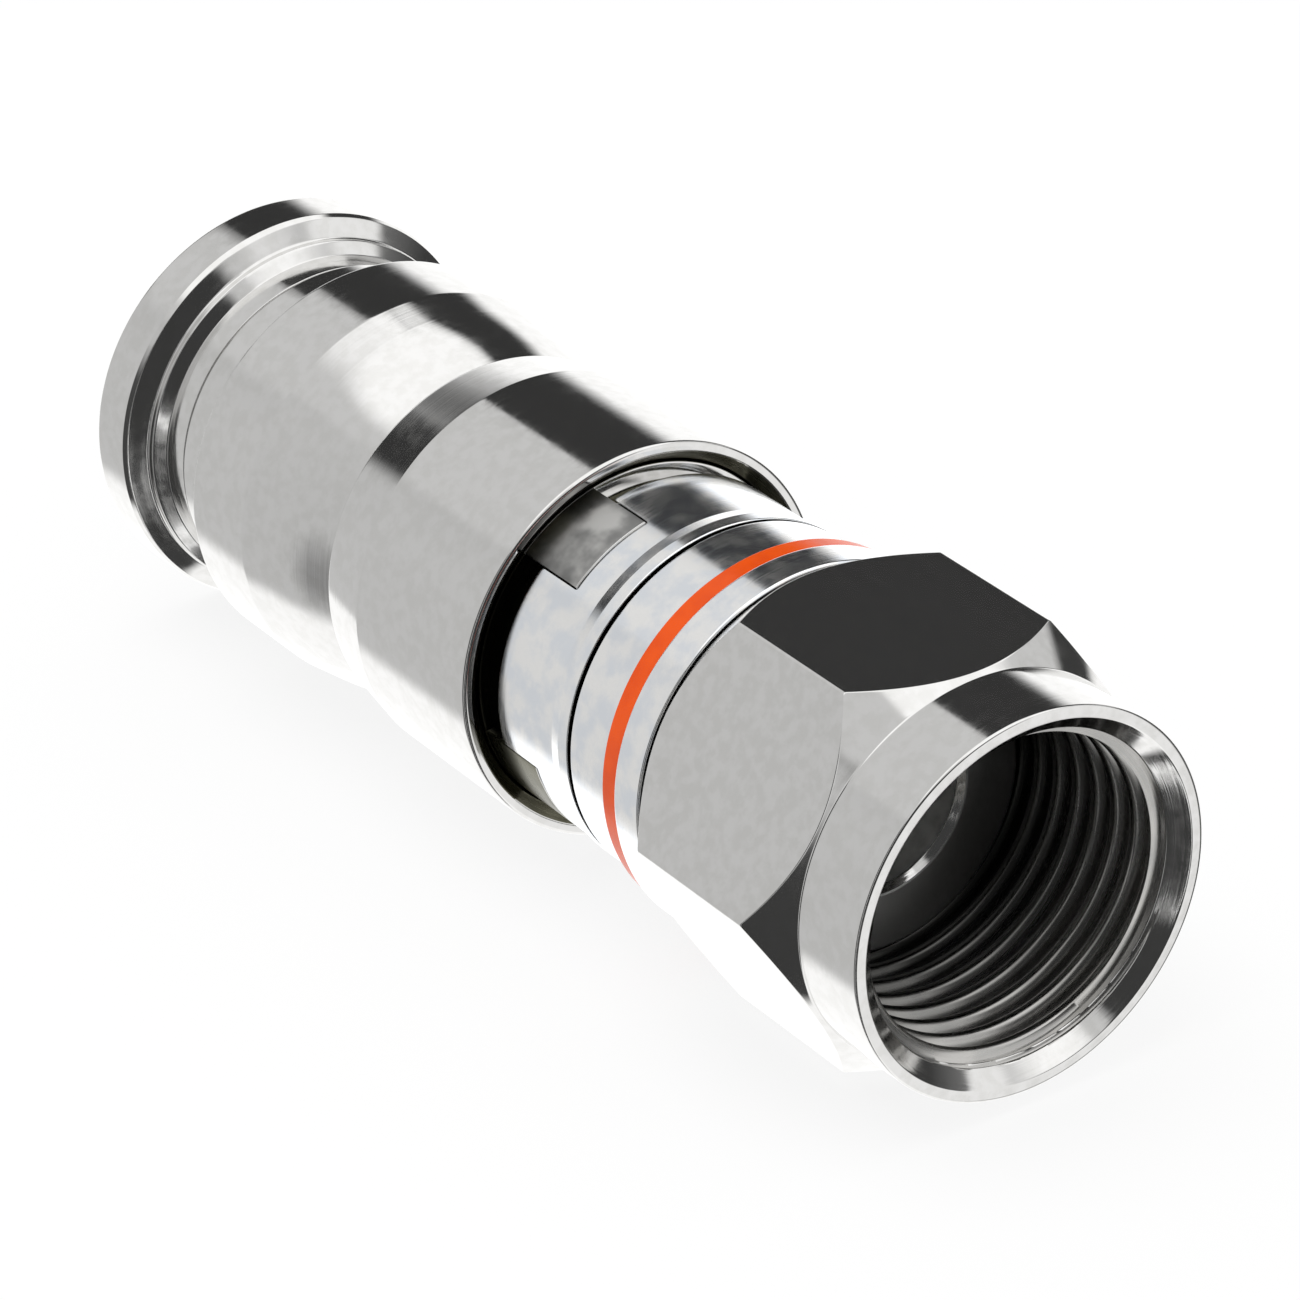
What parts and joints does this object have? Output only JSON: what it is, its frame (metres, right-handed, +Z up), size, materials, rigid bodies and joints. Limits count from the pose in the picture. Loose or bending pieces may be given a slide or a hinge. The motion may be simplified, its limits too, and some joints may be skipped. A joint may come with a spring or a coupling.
{
  "type": "coaxial cable compression connector",
  "caption": "Male threaded coaxial plug with a free-turning hexagonal coupling nut, a banded front body and a flanged sleeve that is pressed forward to grip the cable.",
  "frame": {"origin": "on the connector's axis, in the plane of the post face where the jack seats", "axes": "+X along the axis out of the coupling nut's mouth, +Z up with the part lying on its side and a hexagon flat on top"},
  "size_m": [0.0359, 0.0128, 0.0118],
  "materials": {
    "nickel_plate": "bright nickel plating on turned brass",
    "tin_plate": "bright tin plating on turned brass",
    "zinc_plate": "satin zinc plating, slightly blue",
    "orange_band": "satin orange plastic",
    "black_rubber": "matte rubber",
    "natural_plastic": "natural acetal"
  },
  "bodies": {
    "body": {"post": "tin_plate", "nut_seal": "black_rubber", "front_body": "zinc_plate", "colour_band": "orange_band", "inner_barrel": "nickel_plate"},
    "nut": {"coupling_nut": "nickel_plate"},
    "sleeve": {"compression_sleeve": "nickel_plate", "grip_ring": "natural_plastic"}
  },
  "joints": [
    {"name": "nut_spin", "type": "hinge", "parent": "body", "child": "nut", "pos_m": [0, 0, 0], "axis": [1, 0, 0], "continuous": true},
    {"name": "sleeve_press", "type": "slide", "parent": "body", "child": "sleeve", "axis": [1, 0, 0], "range_m": [0, 0.0035]}
  ]
}
